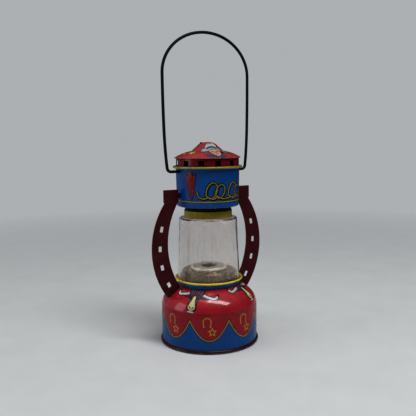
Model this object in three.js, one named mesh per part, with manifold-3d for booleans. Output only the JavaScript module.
// A battery-operated tin toy lantern: drawn tin base, clear globe, vented drum, side arms and wire bail.
// Millimetres, +Z up. The origin is the centre of the foot, the arms and the bail pivots lie along X, and
// the front is -Y. The battery cover, the bulb, the switch and the bail are separate moving pieces.
import * as THREE from "three";
import { mergeVertices } from "three/addons/utils/BufferGeometryUtils.js";
import Module from "manifold-3d";

const wasm = await Module();
wasm.setup();

// Driving dimensions.
const TIN = 0.5; // thickness of the drawn and rolled tin
const GAP = 0.3; // clearance between neighbouring pieces
const ROUND = 36; // facets round a large shell
const SMALL_ROUND = 16; // facets round a rivet, a bulb or a cell

const BASE_RADIUS = 48.5;
const FOOT_RADIUS = 50.1;
const FOOT_BEAD = 1.75; // radius of the rolled foot
const CREASE_Z = 38.9; // where the straight wall turns into the shoulder
const BASE_TOP = { r: 31, z: 58.5 };
const BASE_OPENING = 25.2; // hole under the lamp plate
const COVER_RADIUS = 46.2;

const SEAT_Z = BASE_TOP.z + GAP;
const SEAT_RIM = { r: 33.5, z: 64.3, bead: 1.0 };
const PLATE_RADIUS = 27.3; // lamp plate
const PLATE_TOP_Z = 72.5;
const BOSS = { r: 18, z: 76, hole: 7.2 };

const GLOBE_WALL = 1.5;
const GLOBE_BOTTOM = { r: 31.6, z: 62.8 };
const GLOBE_TOP = { r: 29.1, z: 124.3 };
const COLLAR = { r: 24, bottom: 126.4, top: 133.4 };
const NECK_MEETS_Z = 129.6; // where the globe's neck ends and the sleeve starts, inside the collar

const DRUM_BOTTOM = { r: 31, z: 137.6 };
const DRUM_TOP = { r: 31.65, z: 174.8 };
const DRUM_RIM = { r: 33.6, z: 176.5, bead: 1.1 };
const VENT = { r: 31.3, bottom: 177.9, top: 184.8, count: 12, turn: THREE.MathUtils.degToRad(19.6) };
const WINDOW = { width: 5.6, height: 5 };
const CAP_LIP = { r: 32.9, z: VENT.top + GAP };
const CAP_TOP_Z = 200;
const CAP_SLOT = { from: 7.2, to: 10.6, halfWidth: 1.6, turn: THREE.MathUtils.degToRad(-12.4) };
const TONGUE = { thickness: 2, bottom: 197.8, top: 200.7 }; // bent up out of the cap's slot
const BAFFLE = { r: 24.8, bottom: 176.5 };

const ARM_THICKNESS = 1.2;
const ARM_FOOT = { inner: 33.2, outer: 44.5 }; // where an arm rests on the shoulder
const TAB = { inner: 37, outer: 41, bottom: 48 }; // an arm's lower tab, through the shoulder
const HEEL_TAB = { inner: 29.2, bottom: 146.5, top: 151.5 }; // and its upper tab, through the drum
const SLOT_GAP = 0.4; // clearance of the slots for tabs and for the switch
const HEEL = { inner: 33.3, outer: 49, bottom: 143.2, top: 155.2, step: 0.9 };
const ARM_OUTER_ARC = { r: -17.5, z: 96.5, radius: 80 };
const ARM_INNER_ARC = { r: -34.4, z: 101, radius: 80 };

const WIRE_RADIUS = 1.5;
const PIVOT_Z = 172.7;

const CELL = { radius: 16.5, spacing: 34, length: 59, nubRadius: 4.8, nubLength: 1.5, axisZ: 19.8 };
const CONTACT_X = 32.3; // inner face of the contact strips at both ends of the cells
const STRIP = 0.4; // thickness of the brass strips
const FINGER_Z = 41.5; // height where the cradle's contacts meet the fixed ones

const SOCKET = { inner: 5.1, outer: 5.6, flange: 8.5, bottom: 57.3, top: 66.5 };
const SOCKET_RIVET = { r: 6.9, angle: -62.4, hole: 0.95, shank: 0.6, head: 1.1, headHeight: 0.5 };
const WASHER = { inner: 2.4, outer: 9, thickness: 0.9 };
const BRACKET = { width: 16, foot: 23.5, leg: 18, rivetX: 20.8, thickness: 0.6 };
const RIVET = { shank: 0.8, hole: 1.2, head: 1.6, headHeight: 0.6 };
const BULB = {
  top: 78.6, glass: 6.4, neck: 3.6,
  cap: 4.7, capBottom: 56.8, capTop: 63.4,
  tip: 1.8, tipBottom: 54.4,
};

const SWITCH = { x: 2, z: 22, travel: 4, stem: 1.5, plateY: 43.2, plate: 0.8, rivetX: 12.5 };
const CONTACT_Y = [SWITCH.plateY - GAP - STRIP, SWITCH.plateY - GAP]; // both faces of the fixed strips

// Materials.
const finish = (color, roughness, metalness) =>
  new THREE.MeshStandardMaterial({ color, roughness, metalness });
const redTin = finish(0x9a2330, 0.35, 0.3);
const blueTin = finish(0x0e4089, 0.35, 0.3);
const yellowTin = finish(0xb59a22, 0.4, 0.3);
const blackTin = finish(0x0b0b0c, 0.5, 0.3);
const maroonTin = finish(0x2b0609, 0.45, 0.3);
const goldTin = finish(0x8a7b62, 0.3, 0.8);
const bareTin = finish(0x9b9a95, 0.4, 0.9);
const blackWire = finish(0x0a0a0a, 0.45, 0.6);
const clearPlastic = new THREE.MeshStandardMaterial({
  color: 0xd8dad8,
  roughness: 0.15,
  metalness: 0,
  transparent: true,
  opacity: 0.35,
});
const brass = finish(0xb08d3e, 0.3, 0.9);
const springSteel = finish(0x8c8f93, 0.3, 0.9);
const fibre = finish(0x5b3a24, 0.8, 0);
const bulbGlass = finish(0xc9ccca, 0.1, 0);
const solder = finish(0x9ea0a3, 0.4, 0.8);
const cellJacket = finish(0x2c4a3a, 0.7, 0);
const knobPlastic = finish(0x141414, 0.4, 0);

// Outlines: lists of [r, z] or [x, z] points.
const polar = (centre, radius, degrees) => {
  const angle = THREE.MathUtils.degToRad(degrees);
  return [centre[0] + radius * Math.cos(angle), centre[1] + radius * Math.sin(angle)];
};

function arc(centre, radius, from, to, steps) {
  return Array.from({ length: steps + 1 }, (_, i) =>
    polar(centre, radius, from + ((to - from) * i) / steps));
}

function bezier(points, steps) {
  const curve = new THREE.CubicBezierCurve(...points.map(([a, b]) => new THREE.Vector2(a, b)));
  return curve.getPoints(steps).map((p) => [p.x, p.y]);
}

// The path moved sideways by a distance, to its left, with mitred corners.
function offset(path, distance) {
  const points = path.map(([a, b]) => new THREE.Vector2(a, b));
  const normals = points.slice(1).map((p, i) => {
    const along = p.clone().sub(points[i]).normalize();
    return new THREE.Vector2(-along.y, along.x);
  });
  return points.map((p, i) => {
    const before = normals[Math.max(i - 1, 0)];
    const after = normals[Math.min(i, normals.length - 1)];
    const mitre = before.clone().add(after).multiplyScalar(distance / (1 + before.dot(after)));
    return [p.x + mitre.x, p.y + mitre.y];
  });
}

// The closed outline of a sheet whose face follows the path, with its thickness to the left.
const sheet = (path, thickness) => [...path, ...offset(path, thickness).reverse()];

// Solids.
function lathe(outline, facets = ROUND) {
  const onAxis = outline[0][0] === 0;
  const points = onAxis ? outline : [...outline, outline[0]];
  const profile = points.map(([r, z]) => new THREE.Vector2(r, z));
  return new THREE.LatheGeometry(profile, facets).rotateX(Math.PI / 2);
}

// A plate whose outline lies in the X-Z plane, centred on Y = 0.
function plate(outline, width, holes = []) {
  const toPath = (points) => points.map(([x, z]) => new THREE.Vector2(x, z));
  const shape = new THREE.Shape(toPath(outline));
  shape.holes = holes.map((hole) => new THREE.Path(toPath(hole)));
  const solid = new THREE.ExtrudeGeometry(shape, { depth: width, bevelEnabled: false });
  return solid.translate(0, 0, -width / 2).rotateX(Math.PI / 2);
}

function box([x0, x1], [y0, y1], [z0, z1]) {
  const solid = new THREE.BoxGeometry(x1 - x0, y1 - y0, z1 - z0);
  return solid.translate((x0 + x1) / 2, (y0 + y1) / 2, (z0 + z1) / 2);
}

const alongZ = (radius, bottom, top, facets = SMALL_ROUND) =>
  lathe([[0, bottom], [radius, bottom], [radius, top], [0, top]], facets);
const alongX = (radius, from, to, facets) => alongZ(radius, from, to, facets).rotateY(Math.PI / 2);
const alongY = (radius, from, to, facets) => alongZ(radius, -to, -from, facets).rotateX(Math.PI / 2);

// A round wire through the points, with one section at each point.
function wire(points, radius, facets) {
  class WirePath extends THREE.Curve {
    getPoint(t) {
      return points[Math.round(t * (points.length - 1))].clone();
    }
    getPointAt(t) {
      return this.getPoint(t);
    }
    getTangentAt(t) {
      const i = Math.round(t * (points.length - 1));
      const last = points.length - 1;
      return points[Math.min(i + 1, last)].clone().sub(points[Math.max(i - 1, 0)]).normalize();
    }
  }
  const section = new THREE.Shape(
    arc([0, 0], radius, 0, 360 - 360 / facets, facets - 1).map(([a, b]) => new THREE.Vector2(a, b)));
  const steps = points.length - 1;
  return new THREE.ExtrudeGeometry(section, { steps, extrudePath: new WirePath() });
}

// Joining and cutting.
function toSolid(geometry) {
  const bare = geometry.clone();
  bare.deleteAttribute("normal");
  bare.deleteAttribute("uv");
  const merged = mergeVertices(bare, 1e-4);
  const vertProperties = new Float32Array(merged.attributes.position.array);
  const triVerts = new Uint32Array(merged.index.array);
  return new wasm.Manifold(new wasm.Mesh({ numProp: 3, vertProperties, triVerts }));
}

function toGeometry(solid) {
  const { vertProperties, triVerts } = solid.getMesh();
  const geometry = new THREE.BufferGeometry();
  geometry.setAttribute("position", new THREE.BufferAttribute(vertProperties, 3));
  geometry.setIndex(new THREE.BufferAttribute(triVerts, 1));
  geometry.computeVertexNormals();
  return geometry;
}

const cut = (geometry, ...tools) =>
  toGeometry(tools.reduce((solid, tool) => solid.subtract(toSolid(tool)), toSolid(geometry)));
const join = (...geometries) =>
  toGeometry(geometries.map(toSolid).reduce((solid, other) => solid.add(other)));

const lantern = new THREE.Group();
function add(name, geometry, material, { y = 0, turned = false } = {}) {
  const mesh = new THREE.Mesh(geometry, material);
  mesh.name = name;
  mesh.position.y = y;
  mesh.rotation.z = turned ? Math.PI : 0;
  lantern.add(mesh);
}

const TAB_SLOT_Y = [-ARM_THICKNESS / 2 - SLOT_GAP, ARM_THICKNESS / 2 + SLOT_GAP];

// Base.
const shoulder = bezier([[BASE_RADIUS, CREASE_Z], [47.3, 46.6], [43.3, 51.6], [BASE_TOP.r, BASE_TOP.z]], 6);

function baseShell() {
  const lipRadius = COVER_RADIUS + 0.4;
  const lipThickness = 0.6;
  const beadCentre = [FOOT_RADIUS - FOOT_BEAD, FOOT_BEAD];
  const foot = [[lipRadius, 0], [beadCentre[0], 0], ...arc(beadCentre, FOOT_BEAD, -80, 80, 4)];
  const wall = [[BASE_RADIUS, 2 * FOOT_BEAD + 0.1], ...shoulder, [BASE_OPENING, BASE_TOP.z]];
  const inside = offset(wall, TIN).reverse();
  const lip = [[BASE_RADIUS - TIN, lipThickness], [lipRadius, lipThickness]];
  const slotX = [TAB.inner - SLOT_GAP, TAB.outer + SLOT_GAP];
  const tabSlot = box(slotX, TAB_SLOT_Y, [TAB.bottom - 2, BASE_TOP.z]);
  const throughWall = [BASE_RADIUS - 3, BASE_RADIUS + 1.5];
  const slots = [tabSlot, tabSlot.clone().rotateZ(Math.PI), switchSlot(throughWall), ...rivetHoles()];
  return cut(lathe([...foot, ...wall, ...inside, ...lip]), ...slots);
}

// A shallow pan: raised middle, flat rim on the table and an upturned edge inside the foot.
function bottomCover() {
  const rim = 0.2;
  const middle = { r: 35, z: 1.4 };
  const raised = [[0, middle.z], [middle.r, middle.z], [middle.r + 1.2, rim]];
  return lathe(sheet([...raised, [COVER_RADIUS, rim], [COVER_RADIUS, 5]], TIN));
}

// Globe seat and lamp plate.
function globeSeat() {
  const { r, z, bead } = SEAT_RIM;
  const opening = 28.6;
  const outside = [[opening, SEAT_Z], [BASE_TOP.r, SEAT_Z], [r - 0.6, z - bead]];
  const roll = arc([r, z], bead, -80, 170, 5);
  const inside = [[BASE_TOP.r - 0.2, SEAT_Z + TIN], [opening, SEAT_Z + TIN]];
  return lathe([...outside, ...roll, ...inside]);
}

function lampPlate() {
  const corner = 1.5;
  const flange = 3;
  const bottom = SEAT_Z + 2 * TIN + GAP;
  const path = [
    [PLATE_RADIUS + flange, bottom],
    [PLATE_RADIUS, bottom],
    ...arc([PLATE_RADIUS - corner, PLATE_TOP_Z - corner], corner, 0, 90, 2),
    [BOSS.r + 0.8, PLATE_TOP_Z],
    [BOSS.r, BOSS.z - 0.8],
    [BOSS.r - 0.8, BOSS.z],
    [BOSS.hole, BOSS.z],
  ];
  const holes = [-1, 1].map((side) => alongZ(RIVET.hole, 70, 74).translate(side * BRACKET.rivetX, 0, 0));
  return cut(lathe(sheet(path, TIN)), ...holes);
}

// Globe: a tapered clear cup, upside down, with a short neck inside the collar.
function globe() {
  const bottom = SEAT_Z + TIN + 2 * GAP + TIN;
  const corner = 1.6;
  const neck = COLLAR.r - 1.5;
  const outside = [
    [GLOBE_BOTTOM.r - 0.9, bottom],
    [GLOBE_BOTTOM.r, GLOBE_BOTTOM.z],
    ...arc([GLOBE_TOP.r - corner, GLOBE_TOP.z], corner, 0, 85, 3),
    [neck, COLLAR.bottom - GAP],
    [neck, NECK_MEETS_Z - GAP],
  ];
  return lathe(sheet(outside, GLOBE_WALL));
}

// Collar, neck and drum.
function globeCollar() {
  return lathe(sheet([[COLLAR.r, COLLAR.bottom], [COLLAR.r, COLLAR.top]], TIN));
}

function neckSleeve() {
  const radius = COLLAR.r - TIN - GAP;
  const flange = { r: 27, z: DRUM_BOTTOM.z + TIN + GAP };
  return lathe(sheet([[radius, NECK_MEETS_Z], [radius, flange.z], [flange.r, flange.z]], TIN));
}

function drumShell() {
  const corner = 1.5;
  const { r, z, bead } = DRUM_RIM;
  const wall = [
    [COLLAR.r - 0.4, DRUM_BOTTOM.z],
    ...arc([DRUM_BOTTOM.r - corner, DRUM_BOTTOM.z + corner], corner, -90, 0, 2),
    [DRUM_TOP.r, DRUM_TOP.z],
  ];
  const roll = arc([r, z], bead, -130, 140, 5);
  const inside = [[DRUM_TOP.r + 0.1, DRUM_TOP.z + 1.8], ...offset(wall, TIN).reverse()];
  const across = 40;
  const pivotHole = alongX(WIRE_RADIUS + 0.45, -across, across).translate(0, 0, PIVOT_Z);
  const slotZ = [HEEL_TAB.bottom - SLOT_GAP, HEEL_TAB.top + SLOT_GAP];
  const tabSlots = box([-across, across], TAB_SLOT_Y, slotZ);
  return cut(lathe([...wall, ...roll, ...inside]), pivotHole, tabSlots);
}

function ventRing() {
  const step = 0.7;
  const wall = [
    [VENT.r - step, DRUM_RIM.z - 1.3],
    [VENT.r - step, DRUM_RIM.z + 0.7],
    [VENT.r, VENT.bottom],
    [VENT.r, VENT.top],
  ];
  const half = WINDOW.width / 2;
  const pitch = (2 * Math.PI) / VENT.count;
  const sill = VENT.bottom + 0.2;
  const window = box([VENT.r - 5, VENT.r + 5], [-half, half], [sill, sill + WINDOW.height]);
  const windows = Array.from({ length: VENT.count }, (_, i) =>
    window.clone().rotateZ(VENT.turn + i * pitch));
  return cut(lathe(sheet(wall, TIN)), ...windows);
}

// A ring behind the windows that hides the inside of the drum.
function ventBaffle() {
  const top = VENT.top - GAP;
  return lathe(sheet([[VENT.r - TIN - GAP, top], [BAFFLE.r, top], [BAFFLE.r, BAFFLE.bottom]], TIN));
}

// Cap: a shallow dome with a raised crown and one small slot in the crown's slope.
function chimneyCap() {
  const slope = bezier([[CAP_LIP.r, CAP_LIP.z + 0.6], [28.5, 188.6], [22.5, 190.9], [15.5, 192.2]], 4);
  const crown = [[14.8, 193], ...bezier([[8.6, 198.6], [7.4, 199.5], [5, CAP_TOP_Z], [0, CAP_TOP_Z]], 4)];
  const outside = [...slope, ...crown];
  const lipInner = CAP_LIP.r - 1.2;
  const inside = offset(outside, TIN).reverse().filter(([r]) => r < lipInner);
  inside[0][0] = 0;
  const lip = [[lipInner, CAP_LIP.z + 0.4], [lipInner, CAP_LIP.z], [CAP_LIP.r - 0.3, CAP_LIP.z]];
  const profile = [...lip, ...outside, ...inside];
  const start = profile.findIndex(([r]) => r === 0);
  const fromAxis = [...profile.slice(start + 1), ...profile.slice(0, start + 1)];
  const { from, to, halfWidth, turn } = CAP_SLOT;
  const slot = box([-to, -from], [-halfWidth, halfWidth], [CAP_TOP_Z - 10, CAP_TOP_Z + 1]).rotateZ(turn);
  const { thickness, bottom, top } = TONGUE;
  const tongue = box([-from, thickness - from], [-halfWidth, halfWidth], [bottom, top]).rotateZ(turn);
  return join(cut(lathe(fromAxis), slot), tongue);
}

// Side arms: flat straps cut like half a horseshoe, with nail holes and a tab at each end.
function nailHole([r, z]) {
  const [halfWidth, halfLength] = [1.75, 2.85];
  const middleZ = (ARM_OUTER_ARC.z + ARM_INNER_ARC.z) / 2;
  const lean = Math.asin((z - middleZ) / ARM_OUTER_ARC.radius);
  const corners = [[-1, -1], [1, -1], [1, 1], [-1, 1]];
  return corners.map(([a, b]) => {
    const [across, along] = [a * halfWidth, b * halfLength];
    return [
      r + across * Math.cos(lean) - along * Math.sin(lean),
      z + across * Math.sin(lean) + along * Math.cos(lean),
    ];
  });
}

function sideArm() {
  const angleAt = (bend, z) => THREE.MathUtils.radToDeg(Math.asin((z - bend.z) / bend.radius));
  const tipZ = 48.9;
  const heelStart = HEEL.bottom - HEEL.step;
  const outer = arc([ARM_OUTER_ARC.r, ARM_OUTER_ARC.z], ARM_OUTER_ARC.radius,
    angleAt(ARM_OUTER_ARC, tipZ), angleAt(ARM_OUTER_ARC, heelStart), 14);
  const innerTop = 143.9;
  const innerBottom = 58.3;
  const inner = arc([ARM_INNER_ARC.r, ARM_INNER_ARC.z], ARM_INNER_ARC.radius,
    angleAt(ARM_INNER_ARC, innerTop), angleAt(ARM_INNER_ARC, innerBottom), 14);
  const heel = [
    [HEEL.outer, HEEL.bottom],
    [HEEL.outer, HEEL.top],
    [HEEL.inner, HEEL.top],
    [HEEL.inner, HEEL_TAB.top],
    [HEEL_TAB.inner, HEEL_TAB.top],
    [HEEL_TAB.inner, HEEL_TAB.bottom],
    [HEEL.inner, HEEL_TAB.bottom],
  ];
  const rest = offset(shoulder, -GAP - 0.1).reverse();
  const restAt = (r) => {
    const i = rest.findIndex(([radius]) => radius > r);
    const [[r0, z0], [r1, z1]] = [rest[i - 1], rest[i]];
    return [r, z0 + ((z1 - z0) * (r - r0)) / (r1 - r0)];
  };
  const foot = [
    ...rest.filter(([r]) => r > ARM_FOOT.inner && r < TAB.inner),
    restAt(TAB.inner),
    [TAB.inner, TAB.bottom],
    [TAB.outer, TAB.bottom],
    restAt(TAB.outer),
    ...rest.filter(([r]) => r > TAB.outer && r < ARM_FOOT.outer),
  ];
  const holes = [[51.7, 117.3], [53.8, 98.1], [51.9, 79.5], [45.1, 61.5]].map(nailHole);
  return plate([...outer, ...heel, ...inner, ...foot], ARM_THICKNESS, holes);
}

// Bail: a wire arch with a small bend at each pivot and a hooked end inside the drum.
function carryHandle() {
  const hook = { x: 27.4, z: 167.2, bend: 1.9 };
  const elbow = 4;
  const elbowX = 40.5;
  const half = [
    [hook.x, hook.z],
    ...arc([hook.x + hook.bend, PIVOT_Z - hook.bend], hook.bend, 180, 90, 3),
    ...arc([elbowX, PIVOT_Z + elbow], elbow, -90, -8, 5),
    [46.1, 190],
    [46.9, 210],
    [47.6, 235],
  ];
  const arch = { z: 266, halfWidth: 47.7, height: 40.4, steps: 26 };
  const top = Array.from({ length: arch.steps + 1 }, (_, i) => {
    const angle = (Math.PI * i) / arch.steps;
    return [arch.halfWidth * Math.cos(angle), arch.z + arch.height * Math.sin(angle)];
  });
  const mirrored = half.map(([x, z]) => [-x, z]).reverse();
  const points = [...half, ...top, ...mirrored].map(([x, z]) => new THREE.Vector3(x, 0, z));
  return wire(points, WIRE_RADIUS, 10);
}

// Battery cradle, cells and their contacts, all on the bottom cover.
function batteryCradle() {
  const radius = CELL.radius + 0.5;
  const side = CELL.spacing / 2;
  const path = [
    ...arc([-side, CELL.axisZ], radius, 200, 310, 8),
    ...arc([side, CELL.axisZ], radius, 230, 340, 8),
  ];
  return plate(sheet(path, -0.6), 2 * (CONTACT_X - 1)).rotateZ(Math.PI / 2);
}

function cradleEnd() {
  const x = CONTACT_X + STRIP + GAP;
  return box([x, x + 1], [-28, 28], [2.4, 30]);
}

// A dry cell lying along X with its nub towards +X.
function cell() {
  const { radius, length, nubRadius, nubLength } = CELL;
  const end = CONTACT_X - GAP - nubLength;
  const profile = [
    [0, end - length], [radius - 1, end - length], [radius, end - length + 1], [radius, end - 1],
    [radius - 1, end], [nubRadius, end], [nubRadius, end + nubLength], [0, end + nubLength],
  ];
  return lathe(profile, 32).rotateY(Math.PI / 2).translate(0, 0, CELL.axisZ);
}

function contactSpring() {
  const turns = 2.5;
  const perTurn = 12;
  const start = CONTACT_X - CELL.length - CELL.nubLength - GAP; // face of the cell's flat end
  const coil = { radius: 5.5, wire: 0.4, from: -start + GAP + 0.4, to: CONTACT_X - GAP - 0.4 };
  const points = Array.from({ length: turns * perTurn + 1 }, (_, i) => {
    const angle = (2 * Math.PI * i) / perTurn;
    const x = coil.from + ((coil.to - coil.from) * i) / (turns * perTurn);
    return new THREE.Vector3(x, coil.radius * Math.cos(angle), CELL.axisZ + coil.radius * Math.sin(angle));
  });
  return wire(points, coil.wire, 6);
}

const contactStrip = (y, top) =>
  box([CONTACT_X, CONTACT_X + STRIP], [y - 5, y + 5], [14, top]);

// Lamp: bracket, socket, washer and centre contact under the plate, and the screw-in bulb.
function socketRivetPlaces() {
  return [SOCKET_RIVET.angle, SOCKET_RIVET.angle + 180].map((degrees) =>
    polar([0, 0], SOCKET_RIVET.r, degrees));
}

const socketRivetHoles = () =>
  socketRivetPlaces().map(([x, y]) => alongZ(SOCKET_RIVET.hole, 50, 60).translate(x, y, 0));

function socketBracket() {
  const top = PLATE_TOP_Z - TIN - GAP - BRACKET.thickness;
  const bottom = SOCKET.bottom - GAP - BRACKET.thickness;
  const path = [
    [-BRACKET.foot, top], [-BRACKET.leg, top], [-BRACKET.leg, bottom],
    [BRACKET.leg, bottom], [BRACKET.leg, top], [BRACKET.foot, top],
  ];
  const strap = plate(sheet(path, BRACKET.thickness), BRACKET.width);
  const tipHole = alongZ(4.4, 50, 60);
  const rivetHoles = [-1, 1].map((side) =>
    alongZ(RIVET.hole, 65, 80).translate(side * BRACKET.rivetX, 0, 0));
  return cut(strap, tipHole, ...rivetHoles, ...socketRivetHoles());
}

function lampSocket() {
  const { inner, outer, flange, bottom, top } = SOCKET;
  const outline = [
    [inner, bottom], [flange, bottom], [flange, bottom + TIN], [outer, bottom + TIN],
    [outer, top], [inner, top],
  ];
  return cut(lathe(outline, 32), ...socketRivetHoles());
}

function socketWasher() {
  const { inner, outer, thickness } = WASHER;
  const top = SOCKET.bottom - 2 * GAP - BRACKET.thickness;
  const bottom = top - thickness;
  const disc = lathe([[inner, bottom], [outer, bottom], [outer, top], [inner, top]], 32);
  return cut(disc, ...socketRivetHoles());
}

function socketRivet([x, y]) {
  const top = SOCKET.bottom + TIN + GAP;
  const bottom = SOCKET.bottom - 3 * GAP - BRACKET.thickness - WASHER.thickness;
  const { shank, head, headHeight } = SOCKET_RIVET;
  const outline = [
    [0, bottom - 0.3], [head, bottom - 0.3], [head, bottom], [shank, bottom],
    [shank, top], [head, top], [head, top + headHeight], [0, top + headHeight],
  ];
  return lathe(outline, 12).translate(x, y, 0);
}

function bracketRivet(side) {
  const top = PLATE_TOP_Z + GAP;
  const bottom = PLATE_TOP_Z - TIN - 2 * GAP - BRACKET.thickness;
  const { shank, head, headHeight } = RIVET;
  const outline = [
    [0, bottom - headHeight], [head, bottom - headHeight], [head, bottom], [shank, bottom],
    [shank, top], [head, top], [head - 0.5, top + headHeight], [0, top + headHeight],
  ];
  return lathe(outline, 12).translate(side * BRACKET.rivetX, 0, 0);
}

// A spring strip from under the bulb's tip out to the supply contact at the end of the front cell.
function centreContact() {
  const bulbZ = BULB.tipBottom - GAP - STRIP - 0.1;
  const fingerZ = FINGER_Z + GAP;
  const path = [[-5, bulbZ], [22, bulbZ], [33, 49], [34, fingerZ], [39, fingerZ]];
  const towardsSupply = Math.atan2(-CELL.spacing / 2, -CONTACT_X - STRIP / 2);
  return plate(sheet(path, STRIP), 6).rotateZ(towardsSupply);
}

function bulbGlassEnvelope() {
  const { top, glass, neck, capTop } = BULB;
  const bottom = capTop + GAP;
  const ball = arc([0, top - glass], glass, -30, 84, 6);
  return lathe([[0, bottom], [neck, bottom], [neck + 0.3, bottom + 3.3], ...ball, [0, top]], 24);
}

function bulbCap() {
  const { cap, capBottom, capTop } = BULB;
  return lathe([[0, capBottom], [2.6, capBottom], [cap, capBottom + 1.4], [cap, capTop], [0, capTop]], 24);
}

function bulbTip() {
  const { tip, tipBottom, capBottom } = BULB;
  const top = capBottom - GAP;
  return lathe([[0, tipBottom], [1.1, tipBottom], [tip, tipBottom + 0.7], [tip, top], [0, top]], 12);
}

// Slide switch in the back of the base wall.
function switchSlot(depth) {
  const half = SWITCH.travel / 2 + SWITCH.stem + SLOT_GAP;
  const halfHeight = SWITCH.stem + SLOT_GAP;
  return box([-half, half], depth, [SWITCH.z - halfHeight, SWITCH.z + halfHeight]);
}

function rivetHoles() {
  return [-1, 1].map((side) =>
    alongY(RIVET.hole, 40, 50).translate(side * SWITCH.rivetX, 0, SWITCH.z));
}

function switchPlate() {
  const { plateY, plate: thickness, z } = SWITCH;
  const board = box([-15, 15], [plateY, plateY + thickness], [z - 8, z + 8]);
  return cut(board, switchSlot([plateY - 1, plateY + 2]), ...rivetHoles());
}

function switchRivet(side) {
  const inner = SWITCH.plateY - GAP;
  const outer = BASE_RADIUS - 0.9;
  const { shank, head, headHeight } = RIVET;
  const body = alongY(shank, inner - headHeight, outer + headHeight, 12);
  const insideHead = alongY(head, inner - headHeight, inner, 12);
  const outsideHead = alongY(head, outer, outer + headHeight, 12);
  return join(body, insideHead, outsideHead).translate(side * SWITCH.rivetX, 0, SWITCH.z);
}

// The strip from above the return contact to the switch: a level run, then a leg down the plate.
function switchFeed() {
  const start = new THREE.Vector2(-CONTACT_X - STRIP / 2, CELL.spacing / 2);
  const end = new THREE.Vector2(-7.5, CONTACT_Y[1] - 1);
  const run = end.clone().sub(start);
  const level = [FINGER_Z + GAP, FINGER_Z + GAP + STRIP];
  const bar = box([-3, run.length() + 1.5], [-2.5, 2.5], level)
    .rotateZ(run.angle()).translate(start.x, start.y, 0);
  const leg = box([-10, -5], CONTACT_Y, [SWITCH.z - 5, level[1]]);
  return join(bar, leg);
}

const switchEarth = () => box([5, 10], CONTACT_Y, [SWITCH.z - 5, SWITCH.z + 7]);

function switchWiper() {
  const y = CONTACT_Y[0] - GAP - STRIP;
  const blade = box([-5.8, 7.2], [y, y + STRIP], [-2.6, 2.6]);
  return cut(blade, alongY(1.1, y - 1, y + 2, 12)).translate(SWITCH.x, 0, SWITCH.z);
}

// A low ribbed button outside the wall, a square stem through it and a headed pin that carries the wiper.
function switchKnob() {
  const { stem, x, z } = SWITCH;
  const [halfWidth, halfHeight] = [5, 4];
  const face = BASE_RADIUS + GAP + 0.1;
  const button = box([-halfWidth, halfWidth], [face, FOOT_RADIUS - 0.5], [-halfHeight, halfHeight]);
  const ribs = [-2, -1, 0, 1, 2].map((i) =>
    box([1.8 * i - 0.4, 1.8 * i + 0.4], [face, FOOT_RADIUS], [-halfHeight + 0.4, halfHeight - 0.4]));
  const shoulderY = CONTACT_Y[0];
  const wiperBack = shoulderY - GAP - STRIP;
  const square = box([-stem, stem], [shoulderY, face + 0.4], [-stem, stem]);
  const pin = alongY(0.8, wiperBack - 1, face + 0.3, 12);
  const pinHead = alongY(1.7, wiperBack - 1, wiperBack - GAP, 12);
  return join(button, ...ribs, square, pin, pinHead).translate(x, 0, z);
}

add("base_shell", baseShell(), redTin);
add("bottom_cover", bottomCover(), bareTin);
add("globe_seat", globeSeat(), blueTin);
add("lamp_plate", lampPlate(), goldTin);
add("globe", globe(), clearPlastic);
add("globe_collar", globeCollar(), yellowTin);
add("neck_sleeve", neckSleeve(), blackTin);
add("drum_shell", drumShell(), blueTin);
add("vent_ring", ventRing(), redTin);
add("vent_baffle", ventBaffle(), blackTin);
add("chimney_cap", chimneyCap(), redTin);
add("side_arm_right", sideArm(), maroonTin);
add("side_arm_left", sideArm(), maroonTin, { turned: true });
add("carry_handle", carryHandle(), blackWire);

const cellY = CELL.spacing / 2;
const bridge = box([CONTACT_X, CONTACT_X + STRIP], [-23, 23], [14, 26]);
add("battery_cradle", batteryCradle(), bareTin);
add("cradle_end_right", cradleEnd(), fibre);
add("cradle_end_left", cradleEnd(), fibre, { turned: true });
add("battery_cell_rear", cell(), cellJacket, { y: cellY });
add("battery_cell_front", cell(), cellJacket, { y: -cellY, turned: true });
add("contact_spring_front", contactSpring(), springSteel, { y: -cellY });
add("contact_spring_rear", contactSpring(), springSteel, { y: cellY, turned: true });
add("bridge_strip", bridge, brass);
add("supply_contact", contactStrip(cellY, FINGER_Z), brass, { turned: true });
add("return_contact", contactStrip(-cellY, FINGER_Z), brass, { turned: true });

add("socket_bracket", socketBracket(), bareTin);
add("lamp_socket", lampSocket(), brass);
add("socket_washer", socketWasher(), fibre);
add("centre_contact", centreContact(), brass);
socketRivetPlaces().forEach((place, i) => add(`socket_rivet_${i + 1}`, socketRivet(place), brass));
add("bracket_rivet_left", bracketRivet(-1), brass);
add("bracket_rivet_right", bracketRivet(1), brass);
add("bulb_glass", bulbGlassEnvelope(), bulbGlass);
add("bulb_cap", bulbCap(), brass);
add("bulb_tip", bulbTip(), solder);

add("switch_plate", switchPlate(), fibre);
add("switch_feed_strip", switchFeed(), brass);
add("switch_earth_strip", switchEarth(), brass);
add("switch_rivet_left", switchRivet(-1), brass);
add("switch_rivet_right", switchRivet(1), brass);
add("switch_wiper", switchWiper(), brass);
add("switch_knob", switchKnob(), knobPlastic);

export default lantern;
